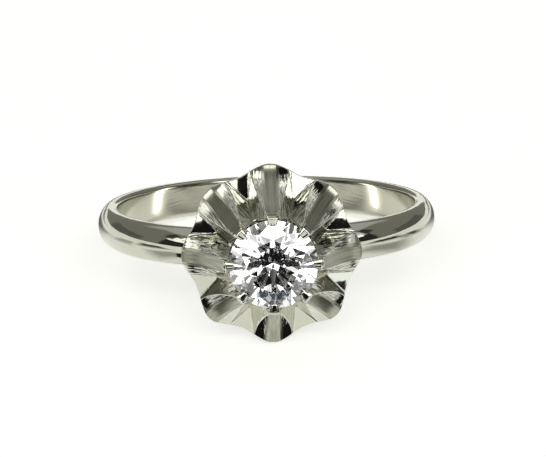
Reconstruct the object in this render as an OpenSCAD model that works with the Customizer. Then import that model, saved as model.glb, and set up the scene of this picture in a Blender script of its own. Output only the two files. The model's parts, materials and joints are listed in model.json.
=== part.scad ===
// Diamond solitaire ring in white gold.
// A plain half-round shank carries a flat eight-petalled flower, and each petal
// climbs along a raised rib to a claw that holds the edge of one brilliant-cut diamond.
// The ring lies on its side: the back of the shank and the lowest petal rest on z = 0,
// the finger hole points up and a little back, and the flower faces -Y.

/* [Shank] */
// Inside diameter, the finger size
finger_d = 17.0; // [15:0.1:20]
// Thickness of the shank from the finger to its outside
shank_t = 1.13; // [0.95:0.01:1.4]
// Width of the shank along the finger
shank_w = 2.1; // [1.6:0.05:2.6]
// Height of the flat side of the shank, below its half-round back
shank_side = 0.6; // [0.4:0.05:0.8]
// Broken edge at the inside of the shank
shank_break = 0.12; // [0.05:0.01:0.2]
// How far from the middle the filed corners of the shoulders start
shoulder_start = 5.4; // [4.8:0.1:6]
// How deep the corners of the shoulders are filed
shoulder_cut = 0.4; // [0.2:0.05:0.5]

/* [Flower] */
// Distance from the middle of the finger hole to the flat of the flower
flower_h = 10.4; // [10.1:0.1:11.5]
// Radius of the flower at the tips of its petals
petal_r = 4.9; // [4.6:0.05:5.3]
// Radius of the flower in the dips between its petals
dip_r = 4.45; // [4.2:0.05:4.6]
// Height of the petal tips above the flat of the flower
petal_lift = 0.2; // [0:0.05:0.4]
// Thickness of the flower at its edge
petal_t = 0.5; // [0.35:0.05:0.7]
// Half the width of the flat crest along each rib
crest_half = 0.32; // [0.25:0.01:0.38]
// Half the width of a rib at its foot, where the flats between the ribs begin
foot_half = 1.19; // [1.1:0.01:1.22]
// How much the foot narrows for each millimetre towards the petal tip
foot_taper = 0.12; // [0:0.02:0.3]
// Bend of the rib's crest seen from the side, 1 is straight
crest_bend = 1.7; // [1.2:0.1:2.4]
// Steepness of the rib's upper slope beside the crest
roof_slope = 0.67; // [0.4:0.05:1]
// Steepness of the rib's side wall down to its foot
wall_slope = 3.6; // [3.2:0.1:4.5]

/* [Diamond] */
// Diameter of the diamond at its girdle
stone_d = 4.74; // [4.6:0.01:4.9]
// Height of the girdle above the flat of the flower
stone_lift = 3.2; // [2.8:0.1:3.6]
// Table across its corners, as a share of the girdle
table_share = 0.6; // [0.53:0.01:0.64]
// Angle of the eight main crown facets
crown_angle = 34.5; // [31:0.5:36]
// Angle of the eight main pavilion facets
pavilion_angle = 40.8; // [39.5:0.1:42]
// Thickness of the girdle
girdle_t = 0.1; // [0.06:0.01:0.16]
// Clearance between the diamond and the metal
seat_gap = 0.03; // [0.02:0.005:0.06]

/* [Neck] */
// Radius of the neck under the flower, where it meets the flower
neck_top_r = 2.2; // [2:0.05:2.4]
// Radius of the neck at the finger hole
neck_foot_r = 1.7; // [1.5:0.05:1.9]
// Radius of the opening behind the diamond
window_r = 0.9; // [0.6:0.05:1.1]

/* [Hidden] */

petals = 8;
petal_turn = 360 / petals;
half_turn = petal_turn / 2;

// Shank
bore_r = finger_d / 2;
shank_r = bore_r + shank_t;
dome_rise = shank_t - shank_side;
dome_r = (shank_w * shank_w / 4 + dome_rise * dome_rise) / (2 * dome_rise);

// Under the flower the back of the shank is filed flat at this distance from the middle
head_flat = 9.2;
head_flat_w = 8;

// Points where the filed shoulder plane meets the shank: along its side and low on its back
shoulder_end = 2.5;
shoulder_low = 4.5;
shoulder_low_t = 0.13;

// Diamond
stone_r = stone_d / 2;
table_r = stone_r * table_share;
crown_h = (stone_r - table_r) * tan(crown_angle);
pavilion_h = stone_r * tan(pavilion_angle);

// Claw and seat, in heights above the flat of the flower
rib_foot_x = 2.72;
seat_r = stone_r + seat_gap;
seat_top = stone_lift + girdle_t / 2 + seat_gap;
seat_floor = stone_lift - girdle_t / 2 - seat_gap;
seat_in_r = 2.05;
valley_top = 2.3;
valley_foot_r = 3.2;
flat_fall = 0.12;

// Underside of the flower, and the hollow behind the diamond as [radius, height]
base_drop = 1.0;
base_r = 2.7;
basket_top = [1.9, 1.9];
basket_foot = [1.5, -0.3];

// The neck reaches into the shank below and into the flower above
neck_sink = 0.4;
neck_drop = 0.7;
window_depth = 3;
bore_cut_w = 8;

// The ring leans back until its lowest petal and the back of its shank lie on one plane
lean = atan((petal_r - shank_w / 2) / (flower_h + petal_lift - petal_t + bore_r + shank_side));
floor_z = (bore_r + shank_side) * sin(lean) + shank_w / 2 * cos(lean);
front_y = -(flower_h + stone_lift + girdle_t / 2 + crown_h) * cos(lean) - table_r * sin(lean);
dome_mid = shank_r - dome_r;
back_y = dome_mid * cos(lean) + dome_r;

gold_colour = [0.70, 0.69, 0.63];
diamond_colour = [0.86, 0.89, 0.93];

// Height of a rib's crest at distance x from the middle of the flower
function crest_z(x) =
    petal_lift + (stone_lift - petal_lift) * pow(max(0, (petal_r - x) / (petal_r - rib_foot_x)), crest_bend);

// Half the width of a rib where its wall meets the level of the flower
function wall_foot_y(x) = foot_half - foot_taper * (x - valley_foot_r * cos(half_turn));

// Height of the flat between two ribs, a plane that falls a little outwards
function flat_z(x, y) = -flat_fall * max(0, x * cos(half_turn) + y * sin(half_turn) - valley_foot_r);

// Half the width of a rib at its foot, where its wall meets the flat
function foot_y(x) = wall_foot_y(x) - flat_z(x, wall_foot_y(x)) / wall_slope;

// Height of the conical ring that fills the valleys behind the diamond's edge
function valley_z(r) =
    min(valley_top, valley_top * (valley_foot_r - r) / (valley_foot_r - seat_r - 0.02));

// Upper surface of one petal: the ribs rise out of the flats, each with a flat crest,
// a gentle slope beside it and a steep wall below
function top_z(x, y) =
    let (r = norm([x, y]),
         roof = crest_z(x) - roof_slope * max(0, y - crest_half),
         wall = wall_slope * (wall_foot_y(x) - y))
    max(min(crest_z(x), roof, wall), flat_z(x, y), valley_z(r));

// Distance across a rib at which its slope meets its wall
function ridge_y(x) =
    (wall_slope * wall_foot_y(x) - crest_z(x) - roof_slope * crest_half) / (wall_slope - roof_slope);

// Outline of the flower at an angle from the middle of a petal
function edge_r(a) = (petal_r + dip_r) / 2 + (petal_r - dip_r) / 2 * cos(petals * a);

// The lines that run along a petal, from the middle of the rib out to the next valley
function line_y(k, x) =
    let (mid = x * tan(half_turn),
         foot = min(foot_y(x), mid - 0.08),
         ridge = max(crest_half + 0.05, min(ridge_y(x), foot - 0.05)))
    k == 0 ? 0 :
    k == 1 ? 0.6 * crest_half :
    k == 2 ? crest_half :
    k == 3 ? ridge :
    k == 4 ? foot :
    k == 5 ? (foot + mid) / 2 : mid;

// Where line k reaches the outline of the flower, found by stepping towards it
function edge_x(k, x, steps) =
    steps == 0 ? x :
    let (y = line_y(k, x))
    edge_x(k, sqrt(pow(edge_r(atan2(y, x)), 2) - y * y), steps - 1);

lines = 7;
crest_lines = 3;
valley_x = valley_foot_r * cos(half_turn);
rim_x = [for (k = [0:lines - 1]) edge_x(k, petal_r * 0.9, 12)];

// Rows of the upper surface, first as shares of the way from the edge to the valley's foot,
// then as shares of the way from there to the claw or to the seat's circle
outer_rows = [1, 0.82, 0.6, 0.4, 0.2, 0];
inner_rows = [0.4, 0.7];
seat_rows = [0.76, 0.84, 0.9, 0.95];

// The claw's back, shoulder and top, with the share by which its sides close in to its nose
claw_rows = [
    // distance from the middle, height above the girdle, share
    [2.72, 0.00, 0],
    [2.67, 0.30, 0],
    [2.54, 0.47, 0.15],
    [2.28, 0.42, 0.6]
];
claw_side_drop = [0, 0.01, 0.12];
nose_x = 2.1;
nose_back = 0.02;
nose_half = 0.2;
nose_root = 0.3;
nose_t = 0.1;

// Plan of the claw's nose over the diamond: its middle, its corner and its root, which lies
// on the seat's circle so that the claw's side stays clear of the diamond's edge
nose = [
    [nose_x, 0],
    [nose_x + nose_back, nose_half],
    [sqrt(seat_r * seat_r - nose_root * nose_root), nose_root]
];

// Where line k ends beside the claw: on the seat's circle, in the line's own direction
seat_x = seat_r * 0.93;
function seat_turn(k) = atan2(line_y(k, seat_x), seat_x);
function seat_end(k) = [seat_r * cos(seat_turn(k)), seat_r * sin(seat_turn(k))];

// Surface of the crown with its clearance, at radius r
function crown_z(r) = seat_top + (seat_r - r) * tan(crown_angle);

// One line of a claw: up its back, over its top and down to its nose on the diamond
function claw_line(k) = [
    for (row = claw_rows)
        [
            row[0] + (nose[k][0] - nose[0][0]) * row[2],
            line_y(k, row[0]) * (1 - row[2]) + nose[k][1] * row[2],
            stone_lift + row[1] - claw_side_drop[k]
        ],
    [nose[k][0], nose[k][1], crown_z(norm(nose[k])) + nose_t]
];

// One line of the upper surface as points [x, y, height], from the flower's edge to the stone
function upper_line(k) = [
    for (s = outer_rows)
        let (x = valley_x + (rim_x[k] - valley_x) * s, y = line_y(k, x))
        [x, y, top_z(x, y)],
    for (s = inner_rows)
        let (end = k < crest_lines ? rib_foot_x : seat_end(k)[0],
             x = valley_x + (end - valley_x) * s,
             y = line_y(k, x))
        [x, y, top_z(x, y)],
    for (p = k < crest_lines ? claw_line(k) : seat_line(k)) p
];

// One line beside the claws, down to the seat's circle
function seat_line(k) = [
    for (s = seat_rows)
        let (x = valley_x + (seat_end(k)[0] - valley_x) * s, y = line_y(k, x))
        [x, y, top_z(x, y)],
    let (p = seat_end(k))
        [p[0], p[1], top_z(p[0], p[1])]
];

// The same line goes on under the claw, round the girdle, down the basket and back
// along the underside to the flower's edge
function under_line(k, top, rim) =
    let (a = atan2(top[1], top[0]),
         h1 = min(top[2] - 0.02, crown_z(norm([top[0], top[1]]))),
         h2 = min(h1 - 0.02, seat_top),
         h3 = min(h2 - 0.02, seat_floor),
         h4 = min(h3 - 0.02, seat_floor - (seat_r - seat_in_r) * tan(pavilion_angle)),
         edge = norm([rim[0], rim[1]]))
    [
        [top[0], top[1], h1],
        [seat_r * cos(a), seat_r * sin(a), h2],
        [seat_r * cos(a), seat_r * sin(a), h3],
        [seat_in_r * cos(a), seat_in_r * sin(a), h4],
        [basket_top[0] * cos(a), basket_top[0] * sin(a), basket_top[1]],
        [basket_foot[0] * cos(a), basket_foot[0] * sin(a), basket_foot[1]],
        [basket_foot[0] * cos(a), basket_foot[0] * sin(a), -base_drop],
        [base_r * cos(a), base_r * sin(a), -base_drop],
        [(base_r + edge) / 2 * cos(a), (base_r + edge) / 2 * sin(a), (rim[2] - petal_t - base_drop) / 2],
        [rim[0], rim[1], rim[2] - petal_t]
    ];

function whole_line(k) =
    let (up = upper_line(k))
    concat(up, under_line(k, up[len(up) - 1], up[0]));

// All lines round the flower: out along one half of a petal and back along the other
half_petal = [for (k = [0:lines - 1]) whole_line(k)];
section = len(half_petal[0]);
per_petal = 2 * (lines - 1);
rings = petals * per_petal;

function flower_point(p, turn) =
    [p[0] * cos(turn) - p[1] * sin(turn), p[0] * sin(turn) + p[1] * cos(turn), p[2]];

flower_points = [
    for (i = [0:rings - 1])
        let (k = i % per_petal, turn = petal_turn * floor(i / per_petal))
        for (p = k < lines ? half_petal[k] : half_petal[per_petal - k])
            k < lines
                ? flower_point(p, turn)
                : flower_point([p[0], -p[1], p[2]], turn + petal_turn)
];

flower_faces = [
    for (i = [0:rings - 1])
        let (n = (i + 1) % rings)
        for (j = [0:section - 1])
            let (m = (j + 1) % section)
            for (f = [0, 1])
                f == 0
                    ? [i * section + j, n * section + m, n * section + j]
                    : [i * section + j, i * section + m, n * section + m]
];

// Brilliant cut: eight kites round the table, with stars and halves that fill between them
star_r = (table_r * cos(half_turn) + stone_r) / 2;
star_z = (stone_r - star_r * cos(half_turn)) * tan(crown_angle);
low_share = 0.24;
low_r = stone_r * low_share;
low_z = (stone_r - low_r * cos(half_turn)) * tan(pavilion_angle);

function circle_points(r, z, count, start) =
    [for (i = [0:count - 1]) let (a = start + 360 / count * i) [r * cos(a), r * sin(a), z]];

// Moves a part from its place on the flower's axis to its place on the ring
module on_flower() {
    rotate([90, 0, 0]) translate([0, 0, flower_h]) children();
}

// Lays the ring on its side with its box centred over the origin
module laid_down() {
    translate([0, -(front_y + back_y) / 2, floor_z]) rotate([-lean, 0, 0]) children();
}

// Cross-section of the shank: a flat inside with broken edges and a half-round back
module shank_profile() {
    intersection() {
        polygon([
            [bore_r, -shank_w / 2 + shank_break],
            [bore_r + shank_break, -shank_w / 2],
            [shank_r + 1, -shank_w / 2],
            [shank_r + 1, shank_w / 2],
            [bore_r + shank_break, shank_w / 2],
            [bore_r, shank_w / 2 - shank_break]
        ]);
        translate([dome_mid, 0]) circle(r = dome_r, $fn = 96);
    }
}

// Fills everything beyond the plane through a point, facing away from it
module beyond(p, n, size) {
    translate(p)
        rotate([0, acos(n[2] / norm(n)), atan2(n[1], n[0])])
            translate([-size / 2, -size / 2, 0])
                cube(size);
}

// The filed corner of one shoulder runs along the shank and gets deeper towards the flower
module shoulder_corner() {
    side_r = bore_r + shank_side;
    low_r = shank_r - shoulder_low_t;
    start = [-shoulder_start, -sqrt(side_r * side_r - shoulder_start * shoulder_start), shank_w / 2];
    end = [-shoulder_end, -sqrt(side_r * side_r - shoulder_end * shoulder_end), shank_w / 2];
    low = [-shoulder_low, -sqrt(low_r * low_r - shoulder_low * shoulder_low), shank_w / 2 - shoulder_cut];
    n = cross(end - start, low - start);
    beyond((start + end) / 2, n[2] > 0 ? n : -n, 2 * shank_w);
}

module shank() {
    difference() {
        rotate_extrude($fn = 180) shank_profile();
        translate([-head_flat_w / 2, -head_flat - shank_w, -shank_w])
            cube([head_flat_w, shank_w, 2 * shank_w]);
        for (sx = [0, 1], sz = [0, 1])
            mirror([sx, 0, 0]) mirror([0, 0, sz]) shoulder_corner();
    }
}

// The flower with its claws: flats, ribs and dips are one closed surface
module flower() {
    polyhedron(points = flower_points, faces = flower_faces, convexity = 12);
}

// Neck that carries the flower on the shank
module neck() {
    translate([0, 0, bore_r - neck_sink - flower_h])
        cylinder(
            h = flower_h - bore_r + neck_sink - neck_drop,
            r1 = neck_foot_r,
            r2 = neck_top_r,
            $fn = 96
        );
}

module flower_ring() {
    color(gold_colour)
        laid_down()
            difference() {
                union() {
                    shank();
                    on_flower() neck();
                    on_flower() flower();
                }
                cylinder(h = bore_cut_w, r = bore_r, center = true, $fn = 180);
                on_flower()
                    translate([0, 0, -window_depth])
                        cylinder(h = window_depth, r = window_r, $fn = 64);
            }
}

module diamond() {
    color(diamond_colour)
        laid_down()
            on_flower()
                translate([0, 0, stone_lift])
                    hull()
                        point_cloud(concat(
                            circle_points(table_r, girdle_t / 2 + crown_h, 8, 0),
                            circle_points(star_r, girdle_t / 2 + star_z, 8, half_turn),
                            circle_points(stone_r, girdle_t / 2, 16, 0),
                            circle_points(stone_r, -girdle_t / 2, 16, 0),
                            circle_points(low_r, -girdle_t / 2 - low_z, 8, half_turn),
                            [[0, 0, -girdle_t / 2 - pavilion_h]]
                        ));
}

// Carries a list of points into a hull as one flat-faced body
module point_cloud(points) {
    polyhedron(points = points, faces = [for (i = [0:len(points) - 3]) [i, i + 1, i + 2]]);
}

flower_ring();
diamond();
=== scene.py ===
"""A diamond solitaire ring in polished white gold, lying on its side on a pale studio floor."""

import json
import math

import bpy
import numpy as np
from mathutils import Matrix


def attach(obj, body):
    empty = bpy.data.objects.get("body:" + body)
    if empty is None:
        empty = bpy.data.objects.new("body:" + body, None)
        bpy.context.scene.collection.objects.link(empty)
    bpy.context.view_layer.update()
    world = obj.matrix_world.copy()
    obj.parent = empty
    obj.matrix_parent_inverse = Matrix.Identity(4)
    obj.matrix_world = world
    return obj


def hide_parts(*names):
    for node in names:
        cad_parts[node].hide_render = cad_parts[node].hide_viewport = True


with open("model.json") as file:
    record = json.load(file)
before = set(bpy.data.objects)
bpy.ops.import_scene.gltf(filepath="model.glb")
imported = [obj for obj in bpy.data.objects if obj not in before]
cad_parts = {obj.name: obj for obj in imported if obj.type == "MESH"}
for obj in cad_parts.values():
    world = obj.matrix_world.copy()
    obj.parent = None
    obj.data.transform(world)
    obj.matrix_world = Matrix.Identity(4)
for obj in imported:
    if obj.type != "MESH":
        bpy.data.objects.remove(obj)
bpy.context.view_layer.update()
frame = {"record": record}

# Shank: the round band that goes about the finger, of 18 carat white gold. It is bent from
# half-round wire, filed down at its shoulders to make room for the head and polished, and its
# two ends are soldered into the neck, which stays open between them.
mm = 0.001
finger_hole = frame["record"]["mounts"][0]
bore_r = finger_hole["dims"]["r_mm"]
hole_middle = np.array(finger_hole["pos_m"])
finger_axis = np.array(finger_hole["axis"])
finger_axis /= np.linalg.norm(finger_axis)
# The ring lies back on its shank and lowest petal, so its own axes are tilted in the scene: to
# the right, away from the flower, and along the finger
ring_axes = np.array([[1, 0, 0], np.cross(finger_axis, [1, 0, 0]), finger_axis])
# The wire in mm: thickness, width, the flat sides below its dome, and the broken edges of the
# finger hole
shank_t = 1.13
shank_w = 2.1
shank_side = 0.6
shank_break = 0.12
# The flat filed on each shoulder: where it starts, where it cuts deepest and where it ends, in mm
# to the side of the head's middle, and how far it comes down the side and into the dome there
shoulder_start = 5.4
shoulder_low = 4.5
shoulder_end = 2.5
shoulder_cut = 0.4
shoulder_low_t = 0.13
# The flat under the head, in mm from the finger's axis, and the soldered ends, in mm to the side
head_flat = 9.2
shank_end_x = 1.2
# Height above the finger hole's wall from which the section is drawn, and how crisp its edges are
section_core = shank_side * 0.85
edge_sharpness = 42
shank_steps = 1080
section_steps = 84


def on_ring(points):
    """Points in the ring's own millimetres, moved to their place on the floor in metres."""
    return hole_middle + points * mm @ ring_axes


def grid_mesh(name, grid, open_ended=False):
    """A mesh from a grid of points [column, row], with quads between neighbours. The rows run
    round. The columns do too, or else the first and the last are closed with flat ends."""
    columns, rows = grid.shape[:2]
    column = np.arange(columns - open_ended)[:, None]
    row = np.arange(rows)[None, :]
    next_column = (column + 1) % columns
    next_row = (row + 1) % rows
    quads = np.stack([column * rows + row, column * rows + next_row,
                      next_column * rows + next_row, next_column * rows + row], -1)
    faces = quads.reshape(-1, 4).tolist()
    if open_ended:
        first_end = np.arange(rows)[::-1]
        last_end = np.arange(rows) + (columns - 1) * rows
        faces += [first_end.tolist(), last_end.tolist()]
    mesh = bpy.data.meshes.new(name)
    mesh.from_pydata(on_ring(grid.reshape(-1, 3)), [], faces)
    mesh.polygons.foreach_set("use_smooth", np.ones(len(mesh.polygons), bool))
    mesh.update()
    piece = bpy.data.objects.new(name, mesh)
    bpy.context.scene.collection.objects.link(piece)
    return piece


def inverse_way(normal, offset, start, ray):
    """One over the way along a ray to the plane normal . p = offset, or 0 if it runs away."""
    facing = np.maximum(0, (normal * ray).sum(-1))
    return facing / np.maximum(1e-6, offset - (normal * start).sum(-1))


def shank_grid():
    """Points of the shank: for each turn about the finger's axis a ray sweeps round the core of
    the section, and its length is a high power mean of the ways to the planes and the dome that
    bound the section, which rounds every edge a little."""
    end_turn = math.asin(shank_end_x / bore_r)
    turn = np.linspace(end_turn - np.pi / 2, np.pi * 3 / 2 - end_turn, shank_steps)[:, None]
    sweep = np.linspace(0, 2 * np.pi, section_steps, endpoint=False)[None, :]
    outward = np.stack([np.cos(turn), np.sin(turn), 0 * turn], -1)
    upward = np.array([0, 0, 1.0])
    core = (bore_r + section_core) * outward
    ray = np.cos(sweep)[..., None] * outward + np.sin(sweep)[..., None] * upward

    # The dome is part of a circle, whose middle lies inside the core
    dome_rise = shank_t - shank_side
    dome_r = (shank_w**2 / 4 + dome_rise**2) / (2 * dome_rise)
    dome_in = section_core - (shank_t - dome_r)
    along = dome_in * np.cos(sweep)
    way_to_dome = -along + np.sqrt(along**2 + dome_r**2 - dome_in**2)

    # The plane of a filed shoulder goes through three points of its outline
    x = -np.array([shoulder_start, shoulder_end, shoulder_low])
    r = bore_r + np.array([shank_side, shank_side, shank_t - shoulder_low_t])
    z = shank_w / 2 - np.array([0, 0, shoulder_cut])
    start, end, low = np.stack([x, -np.sqrt(r**2 - x**2), z], -1)
    filed = np.cross(end - start, low - start)
    filed *= np.sign(filed[2]) / np.linalg.norm(filed)

    bevel = math.sqrt(0.5)
    bevel_offset = (shank_w / 2 - shank_break - bore_r) * bevel
    walls = [
        (-outward, -bore_r),
        (upward, shank_w / 2),
        (-upward, shank_w / 2),
        ((upward - outward) * bevel, bevel_offset),
        ((-upward - outward) * bevel, bevel_offset),
        (np.array([0, -1.0, 0]), head_flat),
        (filed, filed @ start),
        (filed * [1, 1, -1], filed @ start),
        (filed * [-1, 1, 1], filed @ start),
        (filed * [-1, 1, -1], filed @ start),
    ]
    total = way_to_dome**-float(edge_sharpness) + sum(
        inverse_way(normal, offset, core, ray) ** edge_sharpness for normal, offset in walls)
    return core + ray * (total ** (-1 / edge_sharpness))[..., None]


def linear(code):
    """An sRGB hex colour such as 'C9C7B8' as linear red, green, blue and alpha."""
    parts = np.array([int(code[i:i + 2], 16) / 255 for i in (0, 2, 4)])
    parts = np.where(parts <= 0.04045, parts / 12.92, ((parts + 0.055) / 1.055) ** 2.4)
    return (*parts.tolist(), 1.0)


def add(tree, kind, settings=None, **links):
    """Adds a node, sets its properties and fills its inputs with values or other sockets. An
    input goes by its name, with _ for a space, or by its number, as in in0."""
    node = tree.nodes.new(kind)
    for key, value in (settings or {}).items():
        setattr(node, key, value)
    for key, value in links.items():
        number = key[2:]
        socket = node.inputs[int(number) if number.isdigit() else key.replace("_", " ")]
        if isinstance(value, bpy.types.NodeSocket):
            tree.links.new(value, socket)
        else:
            socket.default_value = value
    return node


def new_material(name):
    """An empty node material and its tree."""
    material = bpy.data.materials.new(name)
    material.use_nodes = True
    material.node_tree.nodes.clear()
    return material, material.node_tree


def polished_white_gold():
    """18 carat white gold, polished on a felt wheel: a warm grey mirror. The wheel leaves soft
    ripples of 1.1 mm, and a haze of fine scratches that is drawn as coarse as 0.3 mm to show."""
    ripples_per_mm = 0.9
    haze_per_mm = 3.0
    material, tree = new_material("polished_white_gold")
    place = add(tree, "ShaderNodeTexCoord").outputs["Object"]
    ripple = add(tree, "ShaderNodeTexNoise", Vector=place, Scale=ripples_per_mm / mm, Detail=2.0)
    haze = add(tree, "ShaderNodeTexNoise", Vector=place, Scale=haze_per_mm / mm, Detail=3.0)
    rough = add(tree, "ShaderNodeMapRange", Value=haze.outputs["Fac"], To_Min=0.02, To_Max=0.08)
    bump = add(tree, "ShaderNodeBump", Height=ripple.outputs["Fac"], Strength=0.35,
               Distance=0.03 * mm)
    metal = add(tree, "ShaderNodeBsdfPrincipled", Base_Color=linear("C9C9BB"), Metallic=1.0,
                Roughness=rough.outputs["Result"], Normal=bump.outputs["Normal"])
    add(tree, "ShaderNodeOutputMaterial", Surface=metal.outputs["BSDF"])
    return material


def brushed_white_gold():
    """White gold of the finger hole's wall, rubbed round with fine paper and barely polished, so
    it carries soft grey streaks. Its lines are really some 0.03 mm apart. They are drawn 0.11 mm
    apart and 6.7 mm long to show, in patches of 1.7 mm where the polish took more or less."""
    lines_per_mm = (0.15, 0.15, 9.0)
    patches_per_mm = 0.6
    material, tree = new_material("brushed_white_gold")
    place = add(tree, "ShaderNodeTexCoord").outputs["Object"]
    stretched = add(tree, "ShaderNodeMapping", Vector=place,
                    Scale=tuple(count / mm for count in lines_per_mm))
    round_lines = add(tree, "ShaderNodeTexNoise", Vector=stretched.outputs[0], Scale=1.0,
                      Detail=3.0)
    patches = add(tree, "ShaderNodeTexNoise", Vector=place, Scale=patches_per_mm / mm, Detail=2.0)
    tone = add(tree, "ShaderNodeMix", {"data_type": "RGBA"}, in0=patches.outputs["Fac"],
               in6=linear("A3A292"), in7=linear("CAC9BB"))
    rough = add(tree, "ShaderNodeMapRange", Value=patches.outputs["Fac"], To_Min=0.1, To_Max=0.17)
    bump = add(tree, "ShaderNodeBump", Height=round_lines.outputs["Fac"], Strength=0.3,
               Distance=0.01 * mm)
    metal = add(tree, "ShaderNodeBsdfPrincipled", Base_Color=tone.outputs[2], Metallic=1.0,
                Roughness=rough.outputs["Result"], Normal=bump.outputs["Normal"])
    add(tree, "ShaderNodeOutputMaterial", Surface=metal.outputs["BSDF"])
    return material


white_gold = polished_white_gold()
brushed_gold = brushed_white_gold()
shank = grid_mesh("shank", shank_grid(), open_ended=True)
shank.data.materials.append(white_gold)
shank.data.materials.append(brushed_gold)
# The quads that face the finger are brushed. The flat ends, the last two faces, are polished.
inner_wall_sweep = math.radians(60)
quad_sweep = np.linspace(0, 2 * np.pi, section_steps, endpoint=False) + np.pi / section_steps
on_inner_wall = np.abs(quad_sweep - np.pi) < inner_wall_sweep
finish = np.append(np.tile(on_inner_wall, shank_steps - 1), [False, False])
shank.data.polygons.foreach_set("material_index", finish.astype(int))
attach(shank, "root")
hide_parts("flower_ring")

# Neck: the plain cone of the same gold that carries the flower on the shank, with a round
# opening behind the diamond. It is turned, sunk into both and soldered to them.
flower_h = 10.4
neck_foot_r = 1.7
neck_top_r = 2.2
neck_sink = 0.4
neck_drop = 0.7
window_r = 0.9
neck_steps = 96
# Broken edges of the neck's foot: distance into the metal from the opening's wall or from the
# cone, and height above the finger hole's wall
window_edge = [(0, 0.14), (0, 0.06), (0.06, 0), (0.14, 0)]
cone_edge = [(0.12, 0), (0.05, 0), (0, 0.05), (0, 0.12)]
# The quads of the profile that face the finger, counted from the opening's wall, and the steps
# in which the foot is fitted to the finger hole
foot_quads = (2, 3, 4)
foot_fits = 4


def cone_r(height):
    """Radius of the neck at a height above the finger's axis: it grows evenly from the foot,
    which is sunk in the shank, to the top, which is sunk in the flower."""
    foot = bore_r - neck_sink
    top = flower_h - neck_drop
    return neck_foot_r + (neck_top_r - neck_foot_r) * (height - foot) / (top - foot)


def neck_grid():
    """Points of the neck: a closed profile turned round the flower's axis. Its foot is pulled
    back along that axis on to the finger hole's wall, where the cone's radius follows from the
    height and the height from the radius in a few turns, and its top is flat."""
    turn = np.linspace(0, 2 * np.pi, neck_steps, endpoint=False)[:, None]
    inset, lift = np.array(window_edge + cone_edge).T
    on_window = np.arange(len(lift)) < len(window_edge)
    radius = np.full((neck_steps, len(lift)), cone_r(bore_r))
    for _ in range(foot_fits):
        height = np.sqrt(bore_r**2 - (radius * np.cos(turn)) ** 2) + lift
        radius = np.where(on_window, window_r + inset, cone_r(height) - inset)
    radius = np.hstack([radius, np.full((neck_steps, 2), (neck_top_r, window_r))])
    height = np.hstack([height, np.full((neck_steps, 2), flower_h - neck_drop)])
    return np.stack([radius * np.cos(turn), -height, radius * np.sin(turn)], -1)


neck_points = neck_grid()
neck = grid_mesh("neck", neck_points)
neck.data.materials.append(white_gold)
neck.data.materials.append(brushed_gold)
on_foot = np.isin(np.arange(neck_points.shape[1]), foot_quads)
neck.data.polygons.foreach_set("material_index", np.tile(on_foot, neck_steps).astype(int))
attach(neck, "root")
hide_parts("flower_ring")

# Flower: one casting of eight petals in the same gold. Each has a raised rib with a flat crest
# that climbs to a claw over the diamond's edge, and between the ribs lie small flats. The facets
# are cut with a graver and polished, so their edges are crisp but slightly soft.
petals = 8
half_turn = math.pi / petals
# Petals: reach at their tips and in the dips between, thickness, and the lift of their tips
petal_r = 4.9
dip_r = 4.45
petal_t = 0.5
petal_lift = 0.2
# Ribs: half widths of the crest, of a line on it and of the foot, how the foot narrows outwards,
# the bend of the crest's climb, the slopes of the rib's roof and wall, where the crest meets the
# claw, and the least widths of half a roof and of a flat
crest_half = 0.32
crest_line_y = crest_half * 0.6
foot_half = 1.19
foot_taper = 0.12
crest_bend = 1.7
roof_slope = 0.67
wall_slope = 3.6
rib_foot_x = 2.72
least_slope = 0.05
least_flat = 0.08
# The diamond that the flower holds, and the clearance round it
stone_r = 2.37
stone_lift = 3.2
girdle_t = 0.1
crown_angle = math.radians(34.5)
pavilion_angle = math.radians(40.8)
seat_gap = 0.03
# The seat: a ledge under the diamond's edge with a small lip, the least step between its
# corners, and the share of its radius at which the lines between the ribs aim
seat_r = stone_r + seat_gap
seat_top = stone_lift + girdle_t / 2 + seat_gap
seat_floor = stone_lift - girdle_t / 2 - seat_gap
seat_in_r = 2.05
seat_step = 0.02
seat_aim = 0.93
lip_in = 0.999
lip_drop = 0.01
# The cone that climbs to the seat between the ribs, and the fall of the flats outside it
valley_top = 2.3
valley_foot_r = 3.2
valley_x = valley_foot_r * math.cos(half_turn)
flat_fall = 0.12
# The hollow behind the diamond and the underside: radius and height of their corners
basket_top = (1.9, 1.9)
basket_foot = (1.5, -0.3)
base_drop = 1.0
base_r = 2.7
# Claws: distance out and height of each row, and its share of the way from the crest's width to
# the nose's, how far the lines drop to the claw's sides, and the nose's place on each line
claw_rows = [(2.72, 0.00, 0), (2.67, 0.30, 0), (2.54, 0.47, 0.15), (2.28, 0.42, 0.6)]
claw_side_drop = [0, 0.01, 0.12]
nose_t = 0.1
nose = [(2.1, 0), (2.12, 0.2), (math.sqrt(seat_r**2 - 0.3**2), 0.3)]
# Half a petal is drawn by eight lines, from the crest's middle to the dip's
lines = 8
crest_lines = 3
ridge_line = 4
foot_line = 5
# Rows of points on each line, as shares of the way out from the valley's foot and then in to the
# claw, with a few more up to the seat where the line meets no claw, and the first guess and the
# steps that find where a line meets the rim
outer_rows = np.array([1, 0.975, 0.93, 0.85, 0.75, 0.65, 0.55, 0.45, 0.35, 0.25, 0.15, 0.06, 0.02])
inner_rows = np.array([0.03, 0.12, 0.3, 0.5, 0.7, 0.88])
seat_rows = np.array([0.84, 0.9, 0.95])
first_claw_row = len(outer_rows) + len(inner_rows)
rim_guess = petal_r * 0.9
rim_fits = 12
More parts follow.
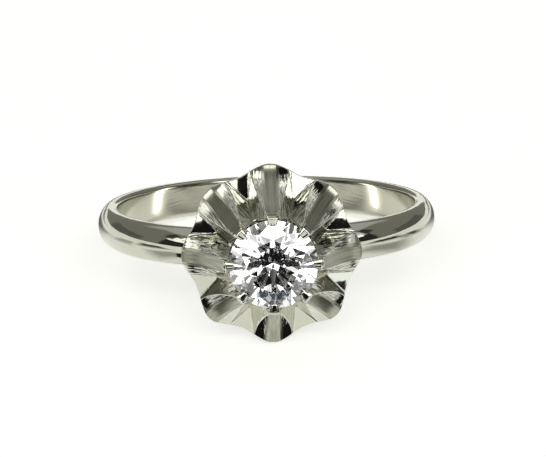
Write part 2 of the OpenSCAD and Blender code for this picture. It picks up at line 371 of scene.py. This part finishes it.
# Rounding of the corners, as shares of the stretches before and after them: along the lines it
# is soft but crisp on the claws, and across them it is set line by line. Then the points on a
# stretch and on an arc, and the weight that makes a point count as lying on its line.
soft = 0.5
crisp = 0.2
line_rounding = [(soft, soft), (soft, soft), (0.25, 0.1), (soft, soft), (0.1, 0.2), (0.2, 0.15),
                 (soft, soft), (soft, soft)]
stretch_shares = np.array([0.1, 0.5, 0.9])
arc_across = 3
arc_along = 4
near_line = 0.89


def crest_z(x):
    """Height of a rib's crest at distance x from the flower's middle: it climbs inwards with a
    power of the share of the way from the petal's tip to the claw."""
    share = np.maximum(0, (petal_r - x) / (petal_r - rib_foot_x))
    return petal_lift + (stone_lift - petal_lift) * share**crest_bend


def wall_foot_y(x):
    """Half the width of a rib where its wall meets the flower's level. It shrinks evenly."""
    return foot_half - foot_taper * (x - valley_x)


def flat_z(x, y):
    """Height of the flat between two ribs, a plane that falls a little outwards."""
    out = x * math.cos(half_turn) + y * math.sin(half_turn)
    return -flat_fall * np.maximum(0, out - valley_foot_r)


def top_z(x, y):
    """Upper surface of one petal: the lowest of crest, roof and wall, where that is above both
    the flat and the cone that climbs to the seat."""
    crest = crest_z(x)
    roof = crest - roof_slope * np.maximum(0, y - crest_half)
    wall = wall_slope * (wall_foot_y(x) - y)
    to_seat = (valley_foot_r - np.hypot(x, y)) / (valley_foot_r - seat_r - seat_step)
    cone = valley_top * np.minimum(1, to_seat)
    return np.maximum(np.maximum(np.minimum(np.minimum(crest, roof), wall), flat_z(x, y)), cone)


def line_y(line, x):
    """Distance across the petal of one of its lines at distance x: the crest's middle, a line on
    it and its edge, the roof's middle, the ridge where roof and wall are as high, the wall's
    foot, the flat's middle, and the dip's."""
    dip = x * math.tan(half_turn)
    wall_foot = wall_foot_y(x)
    foot = np.minimum(wall_foot - flat_z(x, wall_foot) / wall_slope, dip - least_flat)
    ridge = (wall_slope * wall_foot - crest_z(x) - roof_slope * crest_half) / (
        wall_slope - roof_slope)
    ridge = np.maximum(crest_half + least_slope, np.minimum(ridge, foot - least_slope))
    return [0 * x, crest_line_y + 0 * x, crest_half + 0 * x, (crest_half + ridge) / 2, ridge,
            foot, (foot + dip) / 2, dip][line]


def edge_r(turn):
    """Outline of the flower, a cosine wave between the petals' tips and the dips."""
    return (petal_r + dip_r) / 2 + (petal_r - dip_r) / 2 * np.cos(petals * turn)


def rim_x(line):
    """Where a line meets the outline, found by stepping towards it."""
    x = rim_guess
    for _ in range(rim_fits):
        y = line_y(line, x)
        x = math.sqrt(edge_r(math.atan2(y, x)) ** 2 - y**2)
    return x


def crown_z(radius):
    """Surface of the diamond's crown with its clearance, a cone."""
    return seat_top + (seat_r - radius) * math.tan(crown_angle)


def whole_line(line):
    """One line of the flower as points [x, y, height]: in from the rim, up the rib to the claw
    or the seat, round the diamond's edge, down the hollow behind it and out along the back."""
    aim_x = seat_r * seat_aim
    seat_turn = math.atan2(line_y(line, aim_x), aim_x)
    seat_end = seat_r * np.array([math.cos(seat_turn), math.sin(seat_turn)])
    on_claw = line < crest_lines
    inner_x = rib_foot_x if on_claw else seat_end[0]
    x = valley_x + np.concatenate([(rim_x(line) - valley_x) * outer_rows,
                                   (inner_x - valley_x) * inner_rows])
    y = line_y(line, x)
    slope = np.stack([x, y, top_z(x, y)], -1)
    if on_claw:
        nose_x, nose_y = nose[line]
        x, z, share = np.array(claw_rows).T
        end = np.stack([x + (nose_x - nose[0][0]) * share,
                        line_y(line, x) * (1 - share) + nose_y * share,
                        stone_lift + z - claw_side_drop[line]], -1)
        tip = [[nose_x, nose_y, crown_z(math.hypot(nose_x, nose_y)) + nose_t]]
    else:
        x = valley_x + (seat_end[0] - valley_x) * seat_rows
        y = line_y(line, x)
        end = np.stack([x, y, top_z(x, y)], -1)
        seat_z = top_z(*seat_end)
        tip = [[*seat_end, seat_z], [*(seat_end * lip_in), seat_z - lip_drop]]

    rim_point = slope[0]
    tip_x, tip_y, tip_z = tip[-1]
    under_tip = min(tip_z - seat_step, crown_z(math.hypot(tip_x, tip_y)))
    over_edge = min(under_tip - seat_step, seat_top)
    under_edge = min(over_edge - seat_step, seat_floor)
    ledge = min(under_edge - seat_step,
                seat_floor - (seat_r - seat_in_r) * math.tan(pavilion_angle))
    hollow_r, hollow_z = np.array([
        (seat_r, over_edge), (seat_r, under_edge), (seat_in_r, ledge), basket_top, basket_foot,
        (basket_foot[0], -base_drop), (base_r, -base_drop),
        ((base_r + math.hypot(*rim_point[:2])) / 2, (rim_point[2] - petal_t - base_drop) / 2)]).T
    turn = math.atan2(tip_y, tip_x)
    hollow = np.stack([hollow_r * math.cos(turn), hollow_r * math.sin(turn), hollow_z], -1)
    return np.concatenate([slope, end, tip, [[tip_x, tip_y, under_tip]], hollow,
                           [rim_point - [0, 0, petal_t]]])


def rounded(before, after, arc_points):
    """Weights that turn a closed run of corner points into a line with rounded corners: a
    quadratic arc at each corner, from the share before to the share after it, and points spread
    over the straight stretch to the next corner, if the arcs leave any."""
    own = np.eye(len(before))[:, None]
    last = np.roll(own, -1, 2)
    following = np.roll(own, 1, 2)
    straight_end = 1 - np.roll(before, -1)
    arcs_meet = straight_end - after < 1e-6
    on_arc = np.where(arcs_meet[:, None], np.linspace(0, 1, arc_points + 1)[:-1],
                      np.linspace(0, 1, arc_points))
    to_last = (before[:, None] * (1 - on_arc) ** 2)[..., None]
    to_following = (after[:, None] * on_arc**2)[..., None]
    arcs = to_last * last + to_following * following + (1 - to_last - to_following) * own
    on_stretch = (after[:, None] + (straight_end - after)[:, None] * stretch_shares)[..., None]
    stretches = (1 - on_stretch) * own + on_stretch * following
    weights = np.concatenate([arcs, stretches], 1)
    kept = np.ones(weights.shape[:2], bool)
    kept[arcs_meet, arc_points:] = False
    return weights[kept]


def flower_grid():
    """Points of the whole flower: its lines round all eight petals, turned about its axis, with
    rounded corners along and across them. Also the line nearest to each column with the weight
    that it has there, and the row nearest to each row of points."""
    half = np.array([whole_line(line) for line in range(lines)])
    petal_lines = np.concatenate([half, half[-2:0:-1] * [1, -1, 1]])
    columns, rows = petal_lines.shape[:2]
    past_dip = np.arange(columns) >= lines
    turn = 2 * half_turn * (np.arange(petals)[:, None] + past_dip)[..., None]
    x, y, z = np.moveaxis(petal_lines, -1, 0)
    net = np.stack([x * np.cos(turn) - y * np.sin(turn), x * np.sin(turn) + y * np.cos(turn),
                    z + 0 * turn], -1).reshape(-1, rows, 3)

    rounding = np.array(line_rounding)
    rounding = np.concatenate([rounding, rounding[-2:0:-1, ::-1]])
    before, after = np.tile(rounding, (petals, 1)).T
    across = rounded(before, after, arc_across)
    row_rounding = np.full(rows, soft)
    row_rounding[first_claw_row:first_claw_row + len(claw_rows) + 2] = crisp
    along = rounded(row_rounding, row_rounding, arc_along)
    grid = np.einsum("ai,ijc->ajc", across, net)
    grid = np.einsum("bj,ajc->abc", along, grid)
    grid = np.stack([grid[..., 0], -(flower_h + grid[..., 2]), grid[..., 1]], -1)
    nearest_line = across.argmax(1) % columns
    nearest_line = np.minimum(nearest_line, columns - nearest_line)
    return grid, nearest_line, across.max(1), along.argmax(1)


# The flower's finishes, in the order of its materials. The last is a painted highlight along the
# ridges.
polished, satin, bright_cut, ridge_highlight = range(4)


def flower_finishes(nearest_line, nearness, nearest_row):
    """Finish of each quad: satin on the crests, bright-cut on the ribs' roofs and walls, a painted
    highlight along the ridges between them, polished elsewhere."""
    at_ridge = (nearest_line == ridge_line) & (nearness > near_line)
    on_ridge = at_ridge & np.roll(at_ridge, -1)
    line = np.maximum(nearest_line, np.roll(nearest_line, -1))[:, None]
    on_top = nearest_row[None, :] < first_claw_row
    places = [on_top & on_ridge[:, None], on_top & (line < crest_lines),
              on_top & (line <= foot_line)]
    return np.select(places, [ridge_highlight, satin, bright_cut], polished).ravel()


def petal_place(tree):
    """A socket with the distances in mm along and across the nearest rib, and with a third value
    that differs from rib to rib, so that no two carry the same marks."""
    place = add(tree, "ShaderNodeTexCoord").outputs["Object"]
    from_axis = add(tree, "ShaderNodeVectorMath", {"operation": "SUBTRACT"}, in0=place,
                    in1=tuple(hole_middle.tolist())).outputs[0]
    x, y = [add(tree, "ShaderNodeVectorMath", {"operation": "DOT_PRODUCT"}, in0=from_axis,
                in1=tuple((axis / mm).tolist())).outputs["Value"] for axis in ring_axes[[0, 2]]]
    flat_place = add(tree, "ShaderNodeCombineXYZ", X=x, Y=y).outputs[0]
    radius = add(tree, "ShaderNodeVectorMath", {"operation": "LENGTH"},
                 in0=flat_place).outputs["Value"]
    turn = add(tree, "ShaderNodeMath", {"operation": "ARCTAN2"}, in0=y, in1=x).outputs[0]
    off_rib = add(tree, "ShaderNodeMath", {"operation": "PINGPONG"}, in0=turn,
                  in1=half_turn).outputs[0]
    cosine = add(tree, "ShaderNodeMath", {"operation": "COSINE"}, in0=off_rib).outputs[0]
    sine = add(tree, "ShaderNodeMath", {"operation": "SINE"}, in0=off_rib).outputs[0]
    along = add(tree, "ShaderNodeMath", {"operation": "MULTIPLY"}, in0=radius, in1=cosine)
    across = add(tree, "ShaderNodeMath", {"operation": "MULTIPLY"}, in0=radius, in1=sine)
    differs = add(tree, "ShaderNodeMath", {"operation": "ADD"}, in0=x, in1=y)
    return add(tree, "ShaderNodeCombineXYZ", X=along.outputs[0], Y=across.outputs[0],
               Z=differs.outputs[0]).outputs[0]


def satin_white_gold():
    """White gold of the crests, left with the satin lines of a fine file, so they stay an even
    olive grey where the cut facets beside them flash. The lines are really some 0.05 mm apart,
    and are drawn 0.12 mm apart and 0.9 mm long to show."""
    marks_per_mm = (1.1, 8.0, 0.3)
    material, tree = new_material("satin_white_gold")
    stretched = add(tree, "ShaderNodeMapping", Vector=petal_place(tree), Scale=marks_per_mm)
    file_marks = add(tree, "ShaderNodeTexNoise", Vector=stretched.outputs[0], Scale=1.0,
                     Detail=3.0)
    tone = add(tree, "ShaderNodeMix", {"data_type": "RGBA"}, in0=file_marks.outputs["Fac"],
               in6=linear("5C5C4C"), in7=linear("CFCFBF"))
    bump = add(tree, "ShaderNodeBump", Height=file_marks.outputs["Fac"], Strength=0.6,
               Distance=0.03 * mm)
    metal = add(tree, "ShaderNodeBsdfPrincipled", Base_Color=tone.outputs[2], Metallic=1.0,
                Roughness=0.28, Normal=bump.outputs["Normal"])
    add(tree, "ShaderNodeOutputMaterial", Surface=metal.outputs["BSDF"])
    return material


def bright_cut_white_gold():
    """White gold of the ribs' roofs and walls, cut bright with a graver whose strokes run up the
    rib, 0.12 mm apart and 1.1 mm long, so reflections break into streaks. They run deep near the
    diamond and shallow from where the petal opens."""
    strokes_per_mm = (0.9, 8.0, 0.4)
    deep_to = 3.6
    shallow_from = 4.3
    material, tree = new_material("bright_cut_white_gold")
    place = petal_place(tree)
    stretched = add(tree, "ShaderNodeMapping", Vector=place, Scale=strokes_per_mm)
    strokes = add(tree, "ShaderNodeTexNoise", Vector=stretched.outputs[0], Scale=1.0, Detail=2.5)
    along = add(tree, "ShaderNodeSeparateXYZ", Vector=place).outputs["X"]
    depth = add(tree, "ShaderNodeMapRange", Value=along, From_Min=deep_to, From_Max=shallow_from,
                To_Min=0.9, To_Max=0.25)
    bump = add(tree, "ShaderNodeBump", Height=strokes.outputs["Fac"],
               Strength=depth.outputs["Result"], Distance=0.08 * mm)
    metal = add(tree, "ShaderNodeBsdfPrincipled", Base_Color=linear("CDCDC2"), Metallic=1.0,
                Roughness=0.05, Normal=bump.outputs["Normal"])
    add(tree, "ShaderNodeOutputMaterial", Surface=metal.outputs["BSDF"])
    return material


def painted_ridge_highlight():
    """White gold of the ridges with a painted highlight: a paler colour than the rest of the gold
    and a broad sheen, so that they draw thin pale lines between the facets, as edges that catch
    the light do."""
    material, tree = new_material("painted_ridge_highlight")
    # The pale colour is a painted highlight, not a colour of the gold
    metal = add(tree, "ShaderNodeBsdfPrincipled", Base_Color=linear("F6F6F0"), Metallic=1.0,
                Roughness=0.35)
    add(tree, "ShaderNodeOutputMaterial", Surface=metal.outputs["BSDF"])
    return material


flower_points, nearest_line, nearness, nearest_row = flower_grid()
flower = grid_mesh("flower", flower_points)
flower.data.materials.append(white_gold)
flower.data.materials.append(satin_white_gold())
flower.data.materials.append(bright_cut_white_gold())
# The fourth material paints a highlight along the ridges
flower.data.materials.append(painted_ridge_highlight())
finish = flower_finishes(nearest_line, nearness, nearest_row)
flower.data.polygons.foreach_set("material_index", finish)
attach(flower, "root")
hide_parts("flower_ring")

# Diamond: one round brilliant, cut with a table, eight stars, eight kites and sixteen halves
# above its girdle and eight mains and sixteen halves below, and polished flat on a wheel. The
# claws hold it by its girdle.
table_r = stone_r * 0.6
mains_foot_r = stone_r * 0.24
girdle_steps = 6


def ring_of(radius, height, count, start):
    """Points spread evenly on a circle round the flower's axis, from an angle on."""
    turn = start + np.arange(count) * 2 * np.pi / count
    return np.stack([radius * np.cos(turn), radius * np.sin(turn), height + 0 * turn], -1)


def brilliant():
    """The diamond's corners and flat faces. The mains' planes run from the girdle at the crown's
    and the pavilion's angle, and the halves' planes scallop the round girdle between them."""
    half_girdle = girdle_t / 2
    rise = math.tan(crown_angle)
    fall = math.tan(pavilion_angle)
    corner = math.cos(half_turn / 2)
    star_r = (table_r * math.cos(half_turn) + stone_r) / 2
    star_z = half_girdle + (stone_r - star_r * math.cos(half_turn)) * rise
    foot_z = -half_girdle - (stone_r - mains_foot_r * math.cos(half_turn)) * fall
    table = ring_of(table_r, half_girdle + (stone_r - table_r) * rise, 8, 0)
    star = ring_of(star_r, star_z, 8, half_turn)
    mains_foot = ring_of(mains_foot_r, foot_z, 8, half_turn)
    culet = np.array([[0, 0, -half_girdle - stone_r * fall]])
    count = 16 * girdle_steps
    girdle = ring_of(stone_r, 0, count, 0)
    off_corner = (np.arange(count) % girdle_steps) * (half_turn / girdle_steps)
    scallop = stone_r * (np.cos(off_corner - half_turn / 2) - corner)
    up_slope = (star_z - half_girdle) / (stone_r * corner - star_r * corner)
    down_slope = (-half_girdle - foot_z) / (stone_r * corner - mains_foot_r * corner)
    upper = girdle + [0, 0, half_girdle]
    upper[:, 2] -= scallop * up_slope
    lower = girdle - [0, 0, half_girdle]
    lower[:, 2] += scallop * down_slope
    corners = np.concatenate([table, star, upper, lower, mains_foot, culet])
    x, y, z = corners.T
    corners = np.stack([x, -(flower_h + stone_lift + z), y], -1)

    star_at = 8
    upper_at = 16
    lower_at = upper_at + count
    foot_at = lower_at + count
    culet_at = foot_at + 8
    side = np.arange(8)
    star_of = star_at + side
    foot_of = foot_at + side
    main_of = 2 * girdle_steps * side
    on_girdle = (main_of[:, None] + np.arange(2 * girdle_steps + 1)) % count
    first_half = on_girdle[:, :girdle_steps + 1]
    second_half = on_girdle[:, girdle_steps:]
    here = np.arange(count)
    following = (here + 1) % count
    families = [
        side[None],
        np.stack([side, star_of, np.roll(side, -1)], -1),
        np.stack([side, np.roll(star_of, 1), upper_at + main_of, star_of], -1),
        np.column_stack([star_of, upper_at + first_half]),
        np.column_stack([star_of, upper_at + second_half]),
        np.column_stack([foot_of, lower_at + first_half[:, ::-1]]),
        np.column_stack([foot_of, lower_at + second_half[:, ::-1]]),
        np.stack([culet_at + 0 * side, foot_of, lower_at + main_of, np.roll(foot_of, 1)], -1),
        np.stack([upper_at + here, lower_at + here, lower_at + following, upper_at + following],
                 -1),
    ]
    faces = [face for family in families for face in family.tolist()]
    return corners, faces


def cut_diamond():
    """Diamond: perfectly clear and very strongly refracting, so facets flash black and white."""
    material, tree = new_material("cut_diamond")
    stone = add(tree, "ShaderNodeBsdfPrincipled", Base_Color=linear("FBFCFF"), Roughness=0.0,
                IOR=2.417, Transmission_Weight=1.0)
    add(tree, "ShaderNodeOutputMaterial", Surface=stone.outputs["BSDF"])
    return material


corners, faces = brilliant()
stone_mesh = bpy.data.meshes.new("brilliant")
stone_mesh.from_pydata(on_ring(corners), [], faces)
stone_mesh.update()
stone = bpy.data.objects.new("brilliant", stone_mesh)
bpy.context.scene.collection.objects.link(stone)
stone.data.materials.append(cut_diamond())
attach(stone, "root")
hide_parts("diamond")

# Camera: a long lens on a tripod, a little above the finger hole's plane, nearly square on to
# the flower and a hand's length away. Its place is in the ring's own axes, in degrees and mm.
view_up = math.radians(10.19)
view_turn = math.radians(1.34)
view_roll = math.radians(-1.34)
view_distance = 175.2
aim_right = 0.379
aim_down = 0.534
sensor_w = 36
photo_w_pixels = 546
focal_pixels = 3053
near_m = 0.005
far_m = 20

look = np.array([math.sin(view_turn) * math.cos(view_up),
                 math.cos(view_turn) * math.cos(view_up), -math.sin(view_up)])
level_right = np.array([math.cos(view_turn), -math.sin(view_turn), 0])
level_up = np.cross(level_right, look)
right = math.cos(view_roll) * level_right + math.sin(view_roll) * level_up
up = math.cos(view_roll) * level_up - math.sin(view_roll) * level_right
eye = -look * view_distance
aim = aim_right * right - aim_down * up
look = (aim - eye) / np.linalg.norm(aim - eye)
right = np.cross(look, up)
right /= np.linalg.norm(right)
up = np.cross(right, look)

camera_data = bpy.data.cameras.new("camera")
camera = bpy.data.objects.new("camera", camera_data)
bpy.context.scene.collection.objects.link(camera)
camera_data.sensor_width = sensor_w
camera_data.lens = sensor_w * focal_pixels / photo_w_pixels
camera_data.clip_start = near_m
camera_data.clip_end = far_m
stand = np.eye(4)
stand[:3, :3] = (np.array([right, up, -look]) @ ring_axes).T
stand[:3, 3] = on_ring(eye)
camera.matrix_world = Matrix(stand.tolist())
bpy.context.scene.camera = camera

# Studio: a wide floor of pale paper under a grey sky with soft lamps and dark cards, and small
# cards close round the ring that are seen only in its reflections.
floor_half = 2.0
square = np.array([(-1, -1), (1, -1), (1, 1), (-1, 1)])
floor_mesh = bpy.data.meshes.new("floor")
floor_mesh.from_pydata(np.column_stack([square * floor_half, np.zeros(4)]), [], [(0, 1, 2, 3)])
floor = bpy.data.objects.new("floor", floor_mesh)
bpy.context.scene.collection.objects.link(floor)
# Matt white paper, lit so evenly that it shows no grain. Its glow stands for the light of the
# room around it.
material, tree = new_material("pale_paper")
paper = add(tree, "ShaderNodeBsdfPrincipled", Base_Color=linear("F4F4F2"), Roughness=0.9,
            Emission_Color=linear("F4F4F2"), Emission_Strength=0.62)
add(tree, "ShaderNodeOutputMaterial", Surface=paper.outputs["BSDF"])
floor.data.materials.append(material)

# Cards close round the head, each aimed at a slope of a petal. A row gives the petal (0 is the
# right one, 2 the top one), the place on it out along and across its rib in mm, the heading, the
# distance, half width and half height in mm, the brightness, and the share that fades out.
petal_cards = [
    (2, 4.35, 0.6, -101, 48, 6, 1.0, 0.7, 2.2, 0.1),
    (2, 4.35, 0.6, -104, 33, 6, 1.2, 0.5, 0.01, 0.1),
    (2, 4.5, -0.6, 100, 39, 6, 1.9, 1.8, 0.01, 0.1),
    (2, 4.35, -0.6, 127, 52, 6, 0.4, 0.8, 2.2, 0.1),
    (2.5, 4.2, 0.55, -5, 15, 5, 0.35, 0.6, 2.0, 0.1),
    (1, 4.35, 0.6, 130, 80, 6, 1.3, 1.0, 0.01, 0.1),
    (1, 3.7, 0.6, 138, 52, 6, 1.0, 0.8, "blots", 0.1),
    (1, 4.5, -0.6, 93, -7, 6, 0.8, 0.6, 1.6, 0.1),
    (1, 3.7, -0.6, 113, 4, 6.2, 0.9, 1.3, 0.05, 0.5),
    (0.5, 4.55, 0.25, 16, 6, 5, 0.5, 0.3, 2.4, 0.1),
    (0, 4.35, 0.6, 100, 24, 6, 1.2, 1.2, 0.7, 0.1),
    (7.5, 4.45, -0.7, 15, -5, 5, 0.42, 0.42, 0.01, 0.1),
    (7, 3.7, 0.6, 114, -33, 3.8, 0.9, 0.8, "blots", 0.5),
    (7, 4.55, 0.6, 97, -20, 5, 1.2, 1.2, 0.01, 0.1),
    # The next two black cards hang low under the lower petals: painted shade that stands for the
    # floor in the ring's shadow there
    (7, 4.35, -0.6, 158, -52, 2.2, 0.6, 0.5, 0.01, 0.1),
    (5, 4.35, 0.6, -158, -56, 2.2, 0.4, 0.4, 0.01, 0.1),
    (5, 4.45, -0.6, -96, -20, 5, 1.5, 1.5, 0.01, 0.1),
    (5, 3.6, -0.6, -120, -37, 3.5, 0.9, 0.7, "blots", 0.5),
    (4, 4.35, 0.6, -116, -38, 4.5, 0.8, 0.4, 0.01, 0.3),
    (4, 4.35, -0.6, -90, 33, 6, 1.2, 1.1, 1.8, 0.1),
    (4, 4.35, -0.6, -106, 17, 6, 1.0, 0.8, 1.5, 0.1),
    (3.5, 4.45, -0.45, -16, 6, 5, 0.45, 0.35, 2.4, 0.1),
    (3, 4.5, 0.6, -92, -7, 6, 0.8, 0.6, 1.6, 0.1),
    (3, 3.7, 0.6, -113, 4, 6.2, 0.9, 1.3, 0.05, 0.5),
    (3, 4.35, -0.6, -134, 80, 6, 1.0, 0.8, 2.0, 0.1),
    (3, 3.7, -0.6, -141, 54, 6, 1.0, 1.0, "blots", 0.1),
]
slope_lift = 0.6
# Cards for the diamond, aimed at the middle of its crown. A row gives the heading, the distance,
# half width and half height in mm, the brightness and the colour.
stone_cards = [
    (0, -20, 6, 3.0, 1.3, 0.01, "FFFFFF"),
    (0, -2, 40, 10, 4.2, 0.01, "FFFFFF"),
    (-40, 2, 30, 5, 6, 0.01, "FFFFFF"),
    (40, 2, 30, 5, 6, 0.01, "FFFFFF"),
    (-62, 32, 12, 3, 3, 4.0, "FFFFFF"),
    (62, 32, 12, 3, 3, 4.0, "FFFFFF"),
    (0, 64, 12, 5, 2.5, 3.0, "FFFFFF"),
    (0, 50, 11, 1.2, 0.8, 0.01, "FFFFFF"),
    (0, -62, 4.5, 2.6, 1.2, 0.6, "8FA9C4"),
    (34, -16, 14, 2.2, 2.2, 1.7, "E8EEF2"),
]
crown_lift = 0.7
stone_card_fade = 0.1
# Soft dark patches that lie on the floor and that only the metal sees. Those close round the
# ring are painted shade: they stand for its own shadow on the floor, under the finger hole,
# beside the neck and under the lowest petal. Those farther out darken the floor that the band and
# petals mirror. A row gives the place to the right and back, half width and half depth in mm,
# the brightness, and the share that fades out.
floor_shades = [
    (0, 2.4, 6.5, 6.2, 0.35, 0.3),
    (1.4, -8.7, 0.8, 0.45, 0.01, 0.1),
    (-1.0, -8.25, 0.7, 0.75, 0.01, 0.1),
    (-5.0, -7.9, 1.5, 1.8, 0.02, 0.6),
    (5.0, -7.9, 1.5, 1.8, 0.02, 0.6),
    (-13, 13, 7, 9, 0.15, 0.8),
    (13, 13, 7, 9, 0.15, 0.8),
    (-18, 50, 14, 32, 0.25, 0.5),
    (18, 50, 14, 32, 0.25, 0.5),
    (-20, 2, 6, 4, 0.5, 0.7),
    (21, 2, 7, 5, 0.1, 0.7),
    (-11.2, -6.5, 4.2, 4, 0.45, 0.8),
    (11.7, -4.5, 4.7, 6, 0.4, 0.8),
    (-26, -6.5, 10, 6, 0.1, 0.6),
    (29, -6.5, 12, 8, 0.05, 0.6),
]
shade_lift = 0.02
shade_heading = (180, -90)
blots_per_mm = 2.0


def compass(azimuth, elevation):
    """Unit vectors ahead, sideways and upwards for a heading in degrees: azimuth 0 is towards the
    camera and 90 to the right, elevation is above the floor."""
    turn = math.radians(azimuth)
    tilt = math.radians(elevation)
    ahead = np.array([math.sin(turn) * math.cos(tilt), -math.cos(turn) * math.cos(tilt),
                      math.sin(tilt)])
    side = np.array([math.cos(turn), math.sin(turn), 0])
    return ahead, side, np.cross(ahead, side)


def small_card(name, aim_at, azimuth, elevation, distance, half_w, half_h, bright, fade,
               colour="FFFFFA"):
    """One card of plain paper that faces a place in the scene: lit or black, or "blots" for a
    paper with light and dark ones of 0.5 mm. It fades out over the outer share of its width and
    height, by the larger of the two distances from its middle."""
    ahead, side, top = compass(azimuth, elevation)
    middle = aim_at + ahead * distance * mm
    mesh = bpy.data.meshes.new(name)
    mesh.from_pydata(middle + square @ np.array([side * half_w, top * half_h]) * mm, [],
                     [(0, 1, 2, 3)])
    card = bpy.data.objects.new(name, mesh)
    bpy.context.scene.collection.objects.link(card)

    material, tree = new_material(name)
    place = add(tree, "ShaderNodeTexCoord").outputs["Object"]
    from_middle = add(tree, "ShaderNodeVectorMath", {"operation": "SUBTRACT"}, in0=place,
                      in1=tuple(middle.tolist())).outputs[0]
    shares = [add(tree, "ShaderNodeVectorMath", {"operation": "DOT_PRODUCT"}, in0=from_middle,
                  in1=tuple((axis / (half * mm)).tolist())).outputs["Value"]
              for axis, half in ((side, half_w), (top, half_h))]
    across, along = [add(tree, "ShaderNodeMath", {"operation": "ABSOLUTE"}, in0=share).outputs[0]
                     for share in shares]
    farthest = add(tree, "ShaderNodeMath", {"operation": "MAXIMUM"}, in0=across, in1=along)
    edge = add(tree, "ShaderNodeMapRange", {"interpolation_type": "SMOOTHSTEP"},
               Value=farthest.outputs[0], From_Min=1 - fade, From_Max=1.0)
    if bright == "blots":
        blots = add(tree, "ShaderNodeTexNoise", Vector=place, Scale=blots_per_mm / mm, Detail=1.0)
        bright = add(tree, "ShaderNodeMapRange", Value=blots.outputs["Fac"], From_Min=0.47,
                     From_Max=0.53, To_Min=0.01, To_Max=1.4).outputs["Result"]
    glow = add(tree, "ShaderNodeEmission", Color=linear(colour), Strength=bright)
    gone = add(tree, "ShaderNodeBsdfTransparent")
    mix = add(tree, "ShaderNodeMixShader", in0=edge.outputs["Result"],
              in1=glow.outputs["Emission"], in2=gone.outputs["BSDF"])
    add(tree, "ShaderNodeOutputMaterial", Surface=mix.outputs["Shader"])
    mesh.materials.append(material)
    card.visible_camera = False
    card.visible_diffuse = False
    card.visible_shadow = False


for number, (petal, out, across, *card) in enumerate(petal_cards):
    turn = 2 * half_turn * petal
    slope = np.array([out * math.cos(turn) - across * math.sin(turn), -(flower_h + slope_lift),
                      out * math.sin(turn) + across * math.cos(turn)])
    small_card(f"petal_card_{number}", on_ring(slope), *card)
crown_middle = on_ring(np.array([0, -(flower_h + stone_lift + crown_lift), 0]))
for number, (*card, colour) in enumerate(stone_cards):
    small_card(f"stone_card_{number}", crown_middle, *card, stone_card_fade, colour)
for number, (rightwards, backwards, *shade) in enumerate(floor_shades):
    place = np.array([rightwards, backwards, shade_lift]) * mm
    small_card(f"floor_shade_{number}", place, *shade_heading, 0, *shade)
# A narrow lamp that stands on the floor in the finger hole, near its back
small_card("finger_hole_lamp", np.array([0, 8.35, 1.5]) * mm, azimuth=90, elevation=0,
           distance=0, half_w=0.2, half_h=2.5, bright=6.0, fade=0.3)

# Lamps and dark cards of the sky. A row gives the azimuth, elevation, half width and half height
# in degrees, and the brightness. Each blurs over its edge, and its light is a little warm.
sky_cards = [
    (0, 41, 38, 12.5, 2.6),
    (0, 15, 22, 13, 0.01),
    (6, 15, 4, 5, 3.0),
    (-68, 12, 12, 22, 0.03),
    (68, 12, 12, 22, 0.03),
    (-118, 4, 20, 10, 0.13),
    (118, 4, 20, 10, 0.13),
    (-158, 57, 4, 4, 4.0),
    (158, 57, 4, 4, 4.0),
    (180, 66, 40, 22, 0.5),
]
sky_blur = 0.15
lamp_blue = 0.98
world = bpy.data.worlds.new("studio")
world.use_nodes = True
bpy.context.scene.world = world
tree = world.node_tree
tree.nodes.clear()
direction = add(tree, "ShaderNodeTexCoord").outputs["Generated"]
sky = add(tree, "ShaderNodeRGB").outputs["Color"]
sky.default_value = linear("83837C")
for azimuth, elevation, half_w, half_h, bright in sky_cards:
    ahead, sideways, upwards = [
        add(tree, "ShaderNodeVectorMath", {"operation": "DOT_PRODUCT"}, in0=direction,
            in1=tuple(axis.tolist())).outputs["Value"] for axis in compass(azimuth, elevation)]
    ahead_only = add(tree, "ShaderNodeMath", {"operation": "GREATER_THAN"}, in0=ahead, in1=0.0)
    depth = add(tree, "ShaderNodeMath", {"operation": "MAXIMUM"}, in0=ahead, in1=0.001)
    mask = ahead_only.outputs[0]
    for part, half in ((sideways, half_w), (upwards, half_h)):
        share = add(tree, "ShaderNodeMath", {"operation": "DIVIDE"}, in0=part,
                    in1=depth.outputs[0])
        size = add(tree, "ShaderNodeMath", {"operation": "ABSOLUTE"}, in0=share.outputs[0])
        reach = math.tan(math.radians(half))
        inside = add(tree, "ShaderNodeMapRange", {"interpolation_type": "SMOOTHSTEP"},
                     Value=size.outputs[0], From_Min=reach * (1 - sky_blur),
                     From_Max=reach * (1 + sky_blur), To_Min=1.0, To_Max=0.0)
        mask = add(tree, "ShaderNodeMath", {"operation": "MULTIPLY"}, in0=mask,
                   in1=inside.outputs[0]).outputs[0]
    sky = add(tree, "ShaderNodeMix", {"data_type": "RGBA"}, in0=mask, in6=sky,
              in7=(bright, bright, bright * lamp_blue, 1)).outputs[2]
seen = add(tree, "ShaderNodeLightPath").outputs["Is Camera Ray"]
backdrop = add(tree, "ShaderNodeMix", {"data_type": "RGBA"}, in0=seen, in6=sky,
               in7=linear("F3F3F3"))
light = add(tree, "ShaderNodeBackground", Color=backdrop.outputs[2], Strength=1.0)
add(tree, "ShaderNodeOutputWorld", Surface=light.outputs["Background"])

# Plain colours, and enough bounces for light to find its way through the diamond
scene = bpy.context.scene
scene.view_settings.view_transform = "Standard"
scene.cycles.max_bounces = 24
scene.cycles.transmission_bounces = 24
scene.cycles.glossy_bounces = 8
